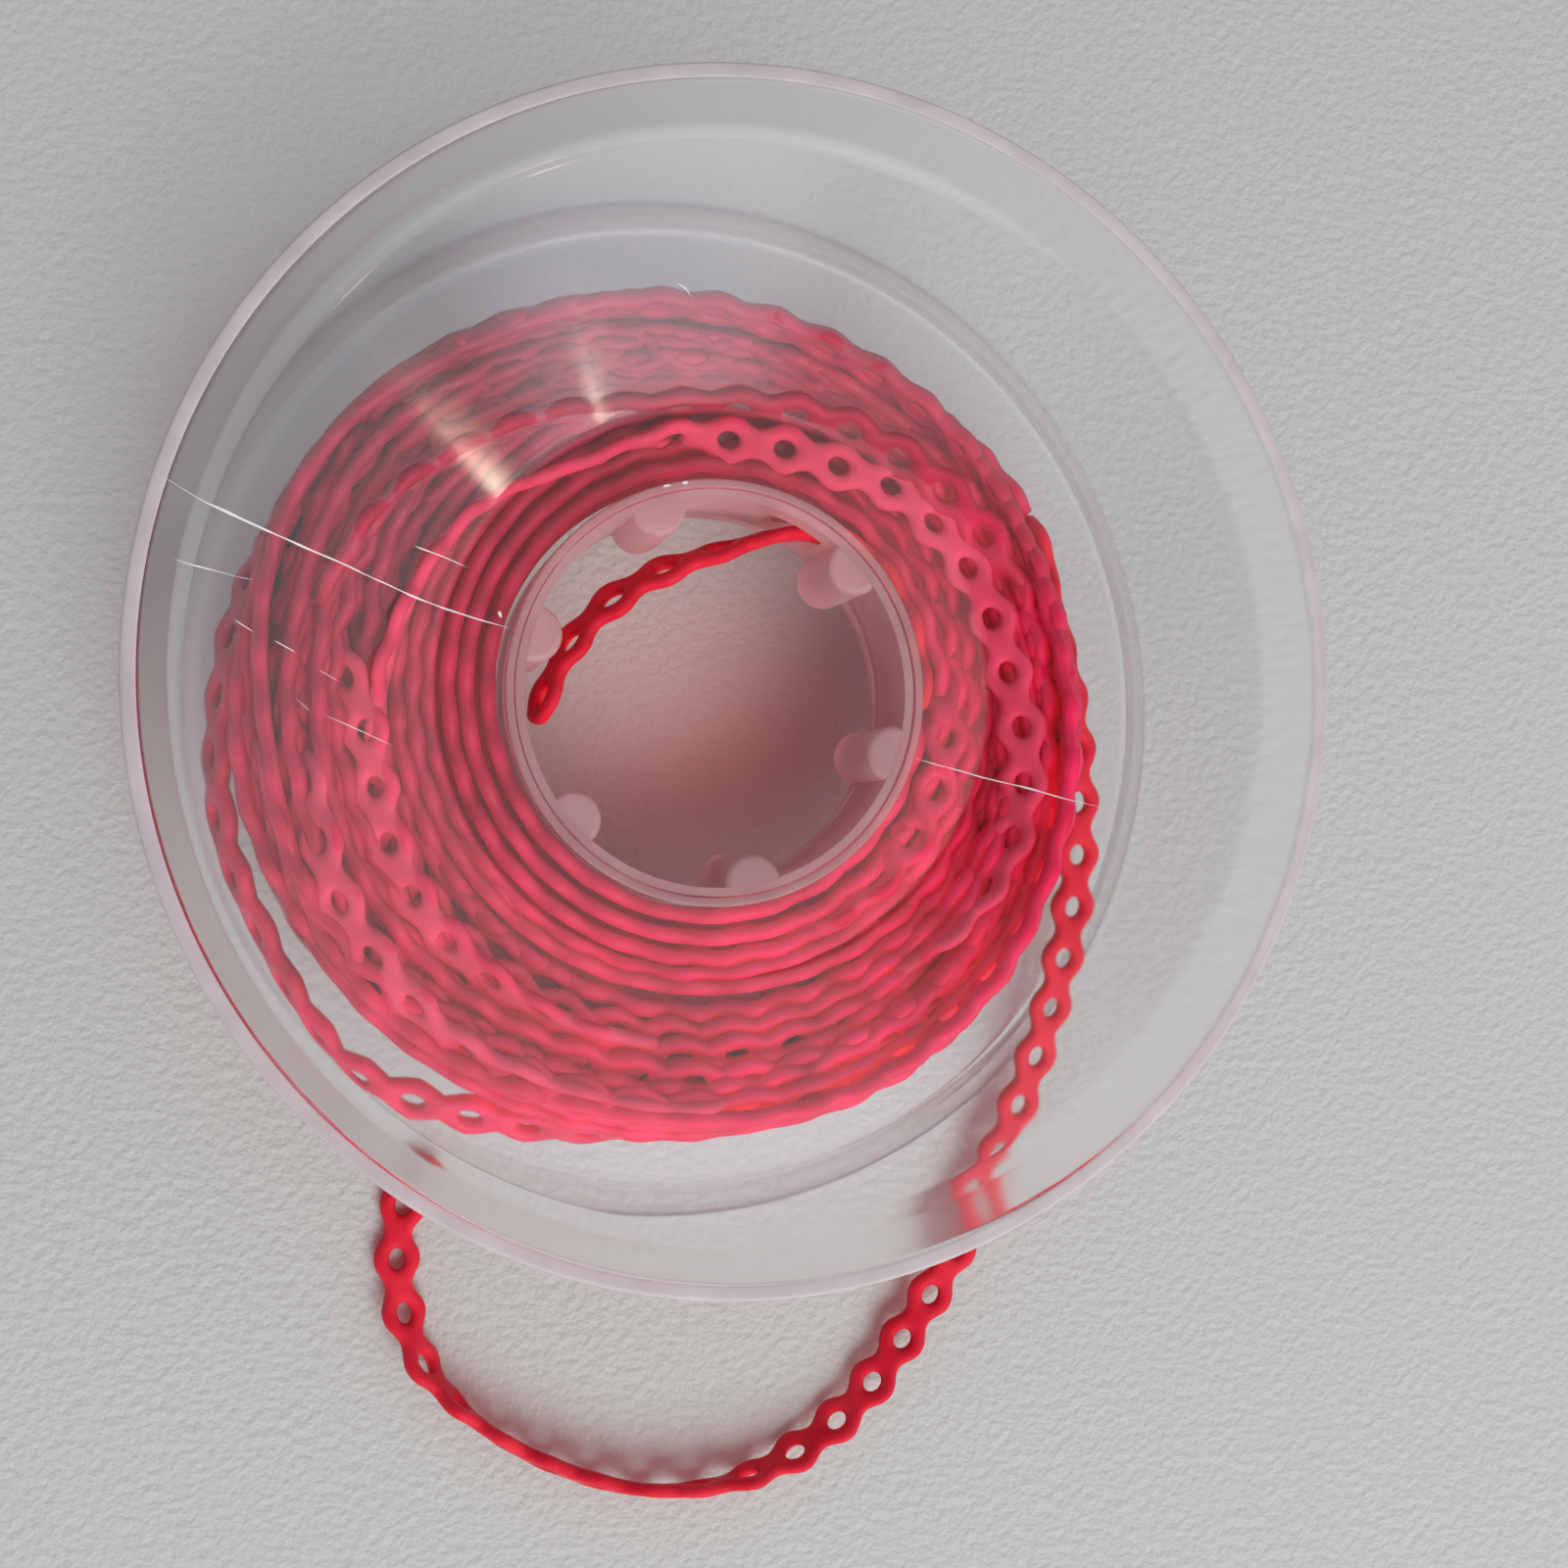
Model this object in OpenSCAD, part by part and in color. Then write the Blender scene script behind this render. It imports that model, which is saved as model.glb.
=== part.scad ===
// Two-piece clear spool, wound with a strand of linked elastic rings.
// The upper and lower halves are dished discs whose hubs nest inside one another.
// Origin: centre of the base, on the surface that the lower rim rests on; +Z runs up the bore.
// Lengths are in millimetres, angles in degrees.

/* [Flanges] */
// Outside diameter of both rims
rim_d = 60; // [57:0.5:72]
// Height from the lower rim to the upper rim
spool_h = 20.5; // [19.5:0.5:26]
// Wall thickness of both flanges
flange_t = 1; // [0.8:0.1:1.2]
// Diameter of the flat middle of each flange
flat_d = 30; // [28:0.5:32]
// Diameter at which the cone turns up more steeply into the rim
shoulder_d = 54.8; // [52:0.2:55.4]
// Rise of the cone from the flat middle to the shoulder
shoulder_rise = 5.4; // [4.6:0.1:5.8]
// Width of the flat land on each rim
land_w = 0.85; // [0.6:0.05:1.2]
// Rounding of the rim's edges
rim_round = 0.2; // [0.1:0.05:0.25]
// Rounding of the bends in the flange wall
bend_round = 1.2; // [0.6:0.1:2]

/* [Hub] */
// Diameter of the bore inside the lower half's sleeve
bore_d = 20.4; // [19:0.2:20.8]
// Height of the hub from end ring to end ring
hub_h = 6.1; // [5.9:0.1:7]
// Height that each end ring stands proud of the flat middle
ring_rise = 0.4; // [0.2:0.05:0.5]
// Wall thickness of the inner sleeve, on the lower half
sleeve_t = 0.45; // [0.4:0.05:0.6]
// Wall thickness of the outer collar, on the upper half
collar_t = 0.45; // [0.4:0.05:0.55]
// Radial gap between the sleeve and the collar
nest_gap = 0.1; // [0.05:0.01:0.15]
// How far the sleeve stops below the top of the collar
sleeve_short = 0.1; // [0:0.05:0.4]

/* [Posts] */
// Radius of the half-round posts inside the bore
post_r = 1.5; // [1:0.1:1.8]
// How far a post's centre lies inside the bore wall
post_inset = 0.1; // [0:0.05:0.4]

/* [Chain slot] */
// Width of the slot that the inner end passes through
slot_w = 1.5; // [1.5:0.05:1.8]
// Plastic left above the slot, below the flat middle's outer face
slot_cover = 1.15; // [1.05:0.05:1.2]
/* [Winding] */
// Outer diameter of the wound chain
wind_d = 47; // [46:0.5:48]
// How far the outer turns sit to one side of the hub
wind_shift = 1.2; // [0:0.1:1.3]
// Diameter of the tube that stands for one turn of chain
turn_d = 0.9; // [0.8:0.05:0.95]
// Loops on the upper face of the winding, counted in whole loops
face_loops = 7; // [5:1:7]
// Loops down the outside of the winding
side_loops = 4; // [3:1:4]
// Clearance between the chain and what it lies against
skin_gap = 0.1; // [0.05:0.01:0.15]
// Room between the hub and the winding for the inner end
hub_room = 1.6; // [1.5:0.05:1.7]

/* [Chain] */
// Width of the chain across its rings
chain_w = 2.6; // [2.2:0.1:2.6]
// Thickness of the chain
chain_t = 0.8; // [0.6:0.05:0.8]

/* [Hidden] */
$fn = 96;

clear_tint = [0.86, 0.82, 0.85, 0.35];
chain_red = [0.72, 0.07, 0.13];

// Heights are worked out from the middle plane, because the two flanges mirror each other.
mid_z = spool_h / 2;
flat_half = hub_h / 2 - ring_rise;
shoulder_half = flat_half + shoulder_rise;
rim_half = spool_h / 2;
rim_r = rim_d / 2;
flat_r = flat_d / 2;
shoulder_r = shoulder_d / 2;
cone_angle = atan2(shoulder_rise, shoulder_r - flat_r);

// Radii of the nested hub walls, from the bore outwards.
bore_r = bore_d / 2;
sleeve_r = bore_r + sleeve_t;
collar_ri = sleeve_r + nest_gap;
collar_r = collar_ri + collar_t;
post_dirs = [42, 108, 163, 221, 281, 342];

// The space between the flanges, where the chain lies.
room_half = flat_half - flange_t;
room_flat_r = flat_r + flange_t * tan(cone_angle / 2);
function room_at(r) = room_half + tan(cone_angle) * max(0, r - room_flat_r);

// The winding: a plain core under one layer of turns.
core_ri = collar_r + hub_room;
first_r = collar_r + skin_gap + turn_d / 2;
last_r = wind_d / 2 - turn_d / 2;
first_dir = -8;
last_dir = 30;
all_turns = face_loops + side_loops + (first_dir - last_dir) / 360;
rings_per_loop = 24;

// The straight stretches between rings cut inside the true circle by this much.
cut_in = last_r * (1 - cos(180 / rings_per_loop));
turn_reach = turn_d / 2 / cos(30) + skin_gap;
turn_lift = turn_reach / cos(cone_angle) + cut_in * tan(cone_angle);
core_drop = turn_lift + turn_reach / cos(cone_angle);
core_r = last_r - cut_in - turn_d / 2 - skin_gap;

// The first loop starts at mid height and climbs on to the face within this part of a loop.
climb = 0.17;
first_level = 0.15;

// The edge between face and side is crossed quickly, so that no two loops close up there.
edge_reach = 0.65;
edge_half = 1 / 12;
side_foot = 0.78;

// ---- Plane geometry -------------------------------------------------------

function unit(v) = v / norm(v);
function left_of(v) = [-v[1], v[0]];
function mix(a, b, f) = a + (b - a) * f;

// Crossing of the line through a and b with the line through c and d.
function crossing(a, b, c, d) =
    let (u = b - a, v = d - c, w = c - a)
    a + u * (w[0] * v[1] - w[1] * v[0]) / (u[0] * v[1] - u[1] * v[0]);

// Corner b of an outline, rounded with radius r between its neighbours a and c.
function rounded(a, b, c, r, steps = 5) =
    let (u = unit(a - b), v = unit(c - b),
         half = acos(u * v) / 2,
         centre = b + unit(u + v) * r / sin(half),
         p = b + u * r / tan(half) - centre,
         q = b + v * r / tan(half) - centre,
         start = atan2(p[1], p[0]),
         sweep = atan2(p[0] * q[1] - p[1] * q[0], p * q))
    [for (i = [0 : steps]) centre + r * [cos(start + sweep * i / steps), sin(start + sweep * i / steps)]];

// Outline point list in which entry i is [point, radius]; a radius of 0 keeps the corner sharp.
function outline(entries) =
    let (n = len(entries))
    [for (i = [0 : n - 1])
        let (e = entries[i], before = entries[(i + n - 1) % n][0], after = entries[(i + 1) % n][0])
        for (p = e[1] == 0 ? [e[0]] : rounded(before, e[0], after, e[1])) p];

// ---- Flanges --------------------------------------------------------------

// The flange wall's face that is away from the chain, from the hub to the rim.
outer_flat = [flat_r, flat_half];
outer_shoulder = [shoulder_r, shoulder_half];
outer_land = [rim_r - land_w, rim_half];

// The face towards the chain lies one wall thickness behind it.
cone_back = left_of(unit(outer_shoulder - outer_flat)) * flange_t;
lip_back = left_of(unit(outer_land - outer_shoulder)) * flange_t;
inner_flat = [room_flat_r, room_half];
inner_shoulder = crossing(outer_flat - cone_back, outer_shoulder - cone_back,
                          outer_shoulder - lip_back, outer_land - lip_back);
inner_rim = crossing(outer_shoulder - lip_back, outer_land - lip_back, [rim_r, 0], [rim_r, 1]);

// Half section of one flange and its hub wall, above the middle plane.
// The hub wall runs from radius r_in to r_out and reaches down to height foot.
module flange_section(r_in, r_out, ring_r, foot) {
    polygon(outline([
        [[r_in, foot], 0],
        [[r_in, hub_h / 2], 0],
        [[ring_r, hub_h / 2], ring_rise / 4],
        [[ring_r, flat_half], 0],
        [outer_flat, bend_round],
        [outer_shoulder, bend_round],
        [outer_land, rim_round],
        [[rim_r, rim_half], rim_round],
        [inner_rim, rim_round],
        [inner_shoulder, bend_round],
        [inner_flat, bend_round],
        [[r_out, room_half], 0],
        [[r_out, foot], 0]
    ]));
}

// The slot lies along the chain, which crosses the two hub walls at a slant.
// It runs in the direction slot_turn, at a distance slot_offset from the axis.
slot_turn = -5;
slot_offset = 9.45;
slot_near = 2.4;
slot_far = 7.6;
slot_top = mid_z + flat_half - slot_cover;
slot_foot = mid_z - room_half;

module chain_slot(foot) {
    rotate([0, 0, slot_turn])
        translate([slot_near, slot_offset - slot_w / 2, foot])
            cube([slot_far - slot_near, slot_w, slot_top - foot]);
}

module upper_half() {
    color(clear_tint)
        difference() {
            translate([0, 0, mid_z])
                rotate_extrude()
                    flange_section(collar_ri, collar_r, collar_r, -room_half);
            chain_slot(slot_foot - 1);
        }
}

module lower_half() {
    color(clear_tint)
        union() {
            difference() {
                translate([0, 0, mid_z])
                    mirror([0, 0, 1])
                        rotate_extrude()
                            flange_section(bore_r, sleeve_r, collar_r, sleeve_short - hub_h / 2);
                chain_slot(slot_foot);
            }
            posts();
        }
}

// Posts run the height of the sleeve and are rooted in its wall.
module posts() {
    post_h = hub_h - sleeve_short;
    intersection() {
        translate([0, 0, mid_z - hub_h / 2])
            cylinder(h = post_h, r = bore_r + sleeve_t / 2);
        for (dir = post_dirs)
            rotate([0, 0, dir])
                translate([bore_r - post_inset, 0, mid_z - hub_h / 2])
                    cylinder(h = post_h, r = post_r, $fn = 48);
    }
}

// ---- Winding --------------------------------------------------------------

// Height of the side, taken on the near side of the hub where the room is least.
side_depth = (1 + side_foot) * (room_at(last_r - wind_shift) - turn_lift);

// Sideways shift of the loop whose radius is r: none on the flat, all of it at the outside.
function shift_at(r) = wind_shift * max(0, r - room_flat_r) / (last_r - room_flat_r);

// Distance along the winding's outline after t loops: below 0 on the face, above 0 down the side.
function outline_at(t) =
    let (inside = t - (face_loops - edge_half), beyond = t - (face_loops + edge_half))
    inside < 0 ? mix(first_r - last_r, -edge_reach, t / (face_loops - edge_half))
    : beyond < 0 ? mix(-edge_reach, edge_reach, inside / (2 * edge_half))
    : mix(edge_reach, side_depth, beyond / (all_turns - face_loops - edge_half));

// Point of the turns after t loops, clockwise from the hub outwards and then down the outside.
function turn_point(t) =
    let (s = outline_at(t),
         r = last_r + min(0, s),
         dir = first_dir - 360 * t,
         x = r * cos(dir) - shift_at(r),
         y = r * sin(dir),
         reach = room_at(norm([x, y])) - turn_lift,
         level = min(1, mix(first_level, 1, t / climb)))
    [x, y, mid_z + level * reach - max(0, s)];

turn_steps = ceil(all_turns * rings_per_loop);
wound = [for (i = [0 : turn_steps]) turn_point(all_turns * i / turn_steps)];

// Level directions in which the chain leaves the two ends of the turns.
inner_exit = [-sin(first_dir), cos(first_dir), 0];
outer_exit = [sin(last_dir), -cos(last_dir), 0];
turns_start = wound[0] + inner_exit * turn_d;
turns_end = wound[turn_steps] + outer_exit * turn_d;
turns_route = concat([turns_start], wound, [turns_end]);

// Least gap between loops, from the points that lie half a loop or more apart.
least_gap = min([for (i = [0 : len(wound) - 1])
                 for (j = [i + rings_per_loop / 2 : 1 : len(wound) - 1])
                 norm(wound[i] - wound[j])]) - turn_d;
echo(least_gap_between_turns = least_gap);

module chain_core() {
    rest = skin_gap / cos(cone_angle);
    far_r = core_r + wind_shift + 1;
    color(chain_red)
        intersection() {
            translate([0, 0, mid_z])
                rotate_extrude()
                    polygon([
                        [core_ri, rest - room_half],
                        [room_flat_r, rest - room_half],
                        [far_r, rest - room_at(far_r)],
                        [far_r, room_at(far_r) - core_drop],
                        [room_flat_r, room_half - core_drop],
                        [core_ri, room_half - core_drop]
                    ]);
            translate([-wind_shift, 0, 0])
                cylinder(h = spool_h, r = core_r);
        }
}

module chain_turns() {
    color(chain_red)
        tube(turns_route, inner_exit * -1, outer_exit, 6,
             [for (p = turns_route) [turn_d, turn_d, 0]]);
}

// ---- Free ends ------------------------------------------------------------

// Outer end: off the winding, over the lower rim and round on the table.
// Each entry is [x, y, z, roll]; a roll of 0 lays the rings flat, 90 stands them on edge.
lead_points = [
    [21.4, 5.4, 7.1, -74],
    [22.1, 2.0, 6.9, -60],
    [22.8, -1.4, 6.2, -44],
    [23.3, -4.8, 5.5, -30],
    [23.5, -8.2, 5.0, -25],
    [23.4, -11.7, 4.5, -25],
    [23.0, -15.2, 3.8, -29],
    [22.4, -18.7, 2.9, -30],
    [21.5, -22.3, 2.1, -22],
    [20.1, -26.2, 1.6, -14],
    [18.4, -30.1, 1.4, -6],
    [16.4, -33.9, 1.3, 0],
    [14.0, -37.6, 1.2, 4],
    [11.2, -41.1, 1.2, 16],
    [7.6, -43.8, 1.3, 40],
    [3.3, -45.4, 1.5, 72],
    [-1.7, -45.5, 1.4, 88],
    [-6.8, -43.9, 1.4, 88],
    [-11.2, -41.3, 1.5, 74],
    [-14.3, -38.0, 1.3, 46],
    [-15.7, -34.2, 0.8, 16],
    [-15.9, -30.6, 0.5, 0],
    [-15.2, -27.2, 0.5, 0]
];

// Inner end: round the hub, through the slot and along the bore to a bare tip.
tail_points = [
    [11.85, 1.8, 10.3, 90],
    [11.3, 4.2, 10.3, 90],
    [10.2, 6.4, 10.3, 90],
    [8.6, 8.1, 10.3, 90],
    [6.5, 8.9, 10.3, 90],
    [4.2, 8.85, 10.2, 90],
    [2.0, 8.2, 10.1, 88],
    [-0.4, 7.45, 10.0, 80],
    [-2.8, 6.5, 9.8, 71],
    [-5.0, 5.1, 9.6, 73],
    [-6.8, 3.3, 9.4, 81],
    [-8.1, 1.1, 9.3, 88],
    [-9.1, -1.5, 9.1, 90]
];

// Point of a smooth curve through the list p, f of the way from entry i to the next.
function curve(p, i, f) =
    let (n = len(p), a = p[max(0, i - 1)], b = p[i], c = p[min(n - 1, i + 1)], d = p[min(n - 1, i + 2)])
    0.5 * (2 * b + (c - a) * f + (2 * a - 5 * b + 4 * c - d) * f * f
           + (3 * b - a - 3 * c + d) * f * f * f);

function smooth(p, steps) =
    [for (i = [0 : len(p) - 2], k = [0 : steps - 1]) curve(p, i, k / steps), p[len(p) - 1]];

function place(e) = [e[0], e[1], e[2]];

lead_route = smooth(concat([[turns_end[0], turns_end[1], turns_end[2], -90],
                            concat(turns_end + outer_exit * 2.4, [-86])], lead_points), 2);
tail_route = smooth(concat([[turns_start[0], turns_start[1], turns_start[2], 90],
                            concat(turns_start + inner_exit * 1.1, [90])], tail_points), 2);

// The outer end widens from one turn's tube to the full chain over its first few rings.
widen_rings = 8;

module chain_lead() {
    color(chain_red)
        tube([for (e = lead_route) place(e)], outer_exit, undef, 8,
             [for (i = [0 : len(lead_route) - 1])
                 [mix(turn_d, chain_w, min(1, i / widen_rings)), chain_t, lead_route[i][3]]]);
}

module chain_tail() {
    color(chain_red)
        tube([for (e = tail_route) place(e)], inner_exit, undef, 8,
             [for (e = tail_route) [chain_w, chain_t, e[3]]]);
}

// Closed tube along the route. Entry i of sizes is [width, thickness, roll] at point i.
// start_dir and end_dir, where given, square the end faces to that direction.
module tube(route, start_dir, end_dir, sides, sizes) {
    n = len(route);
    along = [for (i = [0 : n - 1])
        i == 0 && !is_undef(start_dir) ? start_dir
        : i == n - 1 && !is_undef(end_dir) ? end_dir
        : unit(route[min(n - 1, i + 1)] - route[max(0, i - 1)])];
    points = [for (i = [0 : n - 1])
        let (side = unit(cross([0, 0, 1], along[i])),
             up = cross(along[i], side),
             wide = side * cos(sizes[i][2]) + up * sin(sizes[i][2]),
             thin = up * cos(sizes[i][2]) - side * sin(sizes[i][2]))
        for (k = [0 : sides - 1])
            let (a = 360 * (k + 0.5) / sides, grow = 0.5 / cos(180 / sides))
            route[i] + grow * (wide * sizes[i][0] * cos(a) + thin * sizes[i][1] * sin(a))];
    walls = [for (i = [0 : n - 2], k = [0 : sides - 1])
        let (a = i * sides + k, b = i * sides + (k + 1) % sides)
        for (face = [[a, a + sides, b], [b, a + sides, b + sides]]) face];
    caps = [for (k = [1 : sides - 2])
        for (face = [[0, k, k + 1], [(n - 1) * sides, (n - 1) * sides + k + 1, (n - 1) * sides + k]]) face];
    polyhedron(points = points, faces = concat(walls, caps));
}

upper_half();
lower_half();
chain_core();
chain_turns();
chain_lead();
chain_tail();
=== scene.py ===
import math

import bmesh
import bpy
from mathutils import Matrix, Quaternion, Vector, noise


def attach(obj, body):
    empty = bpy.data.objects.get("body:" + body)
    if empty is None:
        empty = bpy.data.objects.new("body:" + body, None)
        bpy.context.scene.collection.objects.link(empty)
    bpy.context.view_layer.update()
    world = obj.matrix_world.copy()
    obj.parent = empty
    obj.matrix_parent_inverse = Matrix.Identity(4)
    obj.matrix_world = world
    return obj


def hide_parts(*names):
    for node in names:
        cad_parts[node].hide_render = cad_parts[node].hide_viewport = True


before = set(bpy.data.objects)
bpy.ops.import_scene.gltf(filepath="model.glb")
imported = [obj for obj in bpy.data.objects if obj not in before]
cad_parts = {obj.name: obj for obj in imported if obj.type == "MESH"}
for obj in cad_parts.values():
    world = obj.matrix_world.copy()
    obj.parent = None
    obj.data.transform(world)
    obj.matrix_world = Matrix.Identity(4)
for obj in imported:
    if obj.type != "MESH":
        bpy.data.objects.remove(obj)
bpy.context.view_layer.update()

# ---- Camera ----------------------------------------------------------------
# The spool is seen from above and a little to the left of its axis, close enough that its
# lower half shows below and to the right of the upper one.

MM = 0.001

camera_data = bpy.data.cameras.new("overhead_camera")
camera_data.sensor_width = 36
camera_data.lens = 42.19
camera_data.shift_x = 0.15
camera_data.shift_y = 0.03
camera_data.clip_start = 0.002
camera_data.clip_end = 5
camera = bpy.data.objects.new("overhead_camera", camera_data)
camera.location = (-22.74 * MM, -7.94 * MM, 106.85 * MM)
camera.rotation_mode = "QUATERNION"
camera.rotation_quaternion = Quaternion((0.99731, 0.00378, -0.07317, -0.0002)).normalized()
bpy.context.collection.objects.link(camera)
bpy.context.scene.camera = camera

# ---- Ring chain and its outer free end -------------------------------------
# The strand is one moulded strip of soft elastomer, round rings joined by short flat necks.
# Its last length leaves the winding low on the right, drops over the lower rim and lies in a
# loop on the surface. Its tip is simply cut off beside the rim.

PITCH = 3.1 * MM  # from ring to ring
RING_R = 1.3 * MM  # outside of a ring
HOLE_LONG = 0.66 * MM  # half the hole, along the strip
HOLE_WIDE = 0.5 * MM  # half the hole, across the strip
NECK_HALF = 0.70 * MM  # half a neck's width
CHAIN_THICK = 0.8 * MM
HOLE_EDGE = 0.8  # how far the hole's edge is rounded, as a share of the rim's


def make_ring(name, segments, hole_fit, rim_fit, edge):
    """One ring and the halves of its two necks, centred on the origin along X.

    The two fits widen or narrow the hole and the rim for rings that are smoothed afterwards,
    and edge is how far the rims are rounded.
    """
    bm = bmesh.new()
    loops = [bmesh.ops.create_circle(bm, segments=segments, radius=1)["verts"]]
    for _ in range(3):
        edges = [e for e in bm.edges if all(v in loops[-1] for v in e.verts)]
        grown = bmesh.ops.extrude_edge_only(bm, edges=edges)["geom"]
        loops.append([v for v in grown if isinstance(v, bmesh.types.BMVert)])
    top = Vector((0, 0, CHAIN_THICK / 2))
    neck = NECK_HALF * rim_fit
    for number, loop in enumerate(loops):
        for v in loop:
            angle = math.atan2(v.co.y, v.co.x)
            across, along = math.sin(angle), math.cos(angle)
            hole = Vector((HOLE_LONG * hole_fit * along, HOLE_WIDE * hole_fit * across, 0))
            rim = Vector((RING_R * rim_fit * along, RING_R * rim_fit * across, 0))
            inward = rim.normalized() * edge
            in_line = abs(across) < 0.01
            if abs(rim.y) < neck and number > 1:
                rim = Vector((math.copysign(PITCH / 2, along), 0, 0))
                if in_line:
                    inward = Vector((0, 0, 0))
                else:
                    rim.y = math.copysign(neck, across)
                    inward = Vector((0, math.copysign(edge, across), 0))
            v.co = (hole, hole + inward * HOLE_EDGE + top, rim - inward + top, rim)[number]
            if number == 3 and in_line:
                v.co.z = top.z
    bmesh.ops.remove_doubles(bm, verts=bm.verts, dist=1e-7)
    bmesh.ops.mirror(bm, geom=bm.verts[:] + bm.edges[:] + bm.faces[:], merge_dist=1e-7, axis="Z")
    ends = [f for f in bm.faces if all(abs(v.co.x) > PITCH / 2 - 1e-6 for v in f.verts)]
    bmesh.ops.delete(bm, geom=ends, context="FACES")
    bmesh.ops.recalc_face_normals(bm, faces=bm.faces)
    mesh = bpy.data.meshes.new(name)
    bm.to_mesh(mesh)
    bm.free()
    return mesh


class Route:
    """A line to lay chain along.

    Each entry is (x, y, z, roll) in mm and degrees. At roll 0 the rings lie flat.
    """

    def __init__(self, entries, steps):
        points = [Vector(e) for e in entries]
        last = len(points) - 1
        line = []
        for i in range(last):
            a, b, c, d = points[max(0, i - 1)], points[i], points[i + 1], points[min(last, i + 2)]
            for k in range(steps):
                f = k / steps
                line.append(
                    0.5 * (2 * b + (c - a) * f + (2 * a - 5 * b + 4 * c - d) * f * f
                           + (3 * b - a - 3 * c + d) * f * f * f)
                )
        line.append(points[last])
        self.place = [p.xyz * MM for p in line]
        self.roll = [math.radians(p.w) for p in line]
        self.at = [0.0]
        for p, q in zip(self.place, self.place[1:]):
            self.at.append(self.at[-1] + (q - p).length)
        self.length = self.at[-1]
        self.frames = []
        for i, p in enumerate(self.place):
            before, after = self.place[max(0, i - 1)], self.place[min(len(line) - 1, i + 1)]
            along = (after - before).normalized()
            side = Vector((0, 0, 1)).cross(along).normalized()
            up = along.cross(side)
            turn = self.roll[i]
            wide = side * math.cos(turn) + up * math.sin(turn)
            thin = up * math.cos(turn) - side * math.sin(turn)
            self.frames.append((wide, thin, along))
        self.index = 0

    def point(self, s, y, z):
        """The place of a point s along the route, y across the strip and z through it."""
        last = len(self.at) - 2
        i = min(self.index, last)
        while i < last and self.at[i + 1] < s:
            i += 1
        while i > 0 and self.at[i] > s:
            i -= 1
        self.index = i
        f = (s - self.at[i]) / (self.at[i + 1] - self.at[i])
        base = self.place[i].lerp(self.place[i + 1], f)
        wide = self.frames[i][0].lerp(self.frames[i + 1][0], min(1, max(0, f))).normalized()
        thin = self.frames[i][1].lerp(self.frames[i + 1][1], min(1, max(0, f))).normalized()
        return base + wide * y + thin * z


def lay_chain(bm, ring, route):
    """Adds rings to bm from one end of the route to the other, joined and closed at both ends."""
    strand = bmesh.new()
    count = round(route.length / PITCH)
    step = route.length / count
    for i in range(count):
        number = len(strand.verts)
        strand.from_mesh(ring)
        strand.verts.ensure_lookup_table()
        for v in strand.verts[number:]:
            v.co = route.point((i + 0.5 + v.co.x / PITCH) * step, v.co.y, v.co.z)
    bmesh.ops.remove_doubles(strand, verts=strand.verts, dist=2e-6)
    bmesh.ops.holes_fill(strand, edges=[e for e in strand.edges if e.is_boundary], sides=0)
    bmesh.ops.recalc_face_normals(strand, faces=strand.faces)
    laid = bpy.data.meshes.new("strand")
    strand.to_mesh(laid)
    strand.free()
    bm.from_mesh(laid)
    bpy.data.meshes.remove(laid)


def finish_piece(bm, name, material):
    """Turns bm into a smooth-shaded piece that rides with the spool."""
    mesh = bpy.data.meshes.new(name)
    bm.to_mesh(mesh)
    bm.free()
    for polygon in mesh.polygons:
        polygon.use_smooth = True
    mesh.materials.append(material)
    piece = bpy.data.objects.new(name, mesh)
    bpy.context.collection.objects.link(piece)
    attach(piece, "root")
    return piece


# The elastomer is a saturated red with a soft satin skin, a little light passing into it.
# Fine moulding grain and the marks of handling break up the sheen. Every length of chain has
# that skin, in its own two tones.


def make_group(name, inputs, outputs):
    """An empty node group, with its Group Input and Group Output; the sockets are (name, kind)."""
    group = bpy.data.node_groups.new(name, "ShaderNodeTree")
    for way, sockets in (("INPUT", inputs), ("OUTPUT", outputs)):
        for socket, kind in sockets:
            group.interface.new_socket(socket, in_out=way, socket_type="NodeSocket" + kind)
    return group, group.nodes.new("NodeGroupInput"), group.nodes.new("NodeGroupOutput")


elastomer_skin, skin_given, skin_result = make_group(
    "elastomer_skin",
    [("Deep Tone", "Color"), ("Pale Tone", "Color")],
    [("Color", "Color"), ("Roughness", "Float"), ("Normal", "Vector")],
)
skin_place = elastomer_skin.nodes.new("ShaderNodeTexCoord")
skin_cloud = elastomer_skin.nodes.new("ShaderNodeTexNoise")
skin_cloud.inputs["Scale"].default_value = 260
skin_cloud.inputs["Detail"].default_value = 3
elastomer_skin.links.new(skin_place.outputs["Object"], skin_cloud.inputs["Vector"])
skin_share = elastomer_skin.nodes.new("ShaderNodeMapRange")
skin_share.inputs["From Min"].default_value = 0.32
skin_share.inputs["From Max"].default_value = 0.68
elastomer_skin.links.new(skin_cloud.outputs["Fac"], skin_share.inputs["Value"])
skin_tone = elastomer_skin.nodes.new("ShaderNodeMix")
skin_tone.data_type = "RGBA"
elastomer_skin.links.new(skin_share.outputs["Result"], skin_tone.inputs[0])
elastomer_skin.links.new(skin_given.outputs["Deep Tone"], skin_tone.inputs[6])
elastomer_skin.links.new(skin_given.outputs["Pale Tone"], skin_tone.inputs[7])
elastomer_skin.links.new(skin_tone.outputs[2], skin_result.inputs["Color"])
skin_grain = elastomer_skin.nodes.new("ShaderNodeTexNoise")
skin_grain.inputs["Scale"].default_value = 2600
skin_grain.inputs["Detail"].default_value = 4
elastomer_skin.links.new(skin_place.outputs["Object"], skin_grain.inputs["Vector"])
skin_rough = elastomer_skin.nodes.new("ShaderNodeMapRange")
skin_rough.inputs["To Min"].default_value = 0.26
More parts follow.
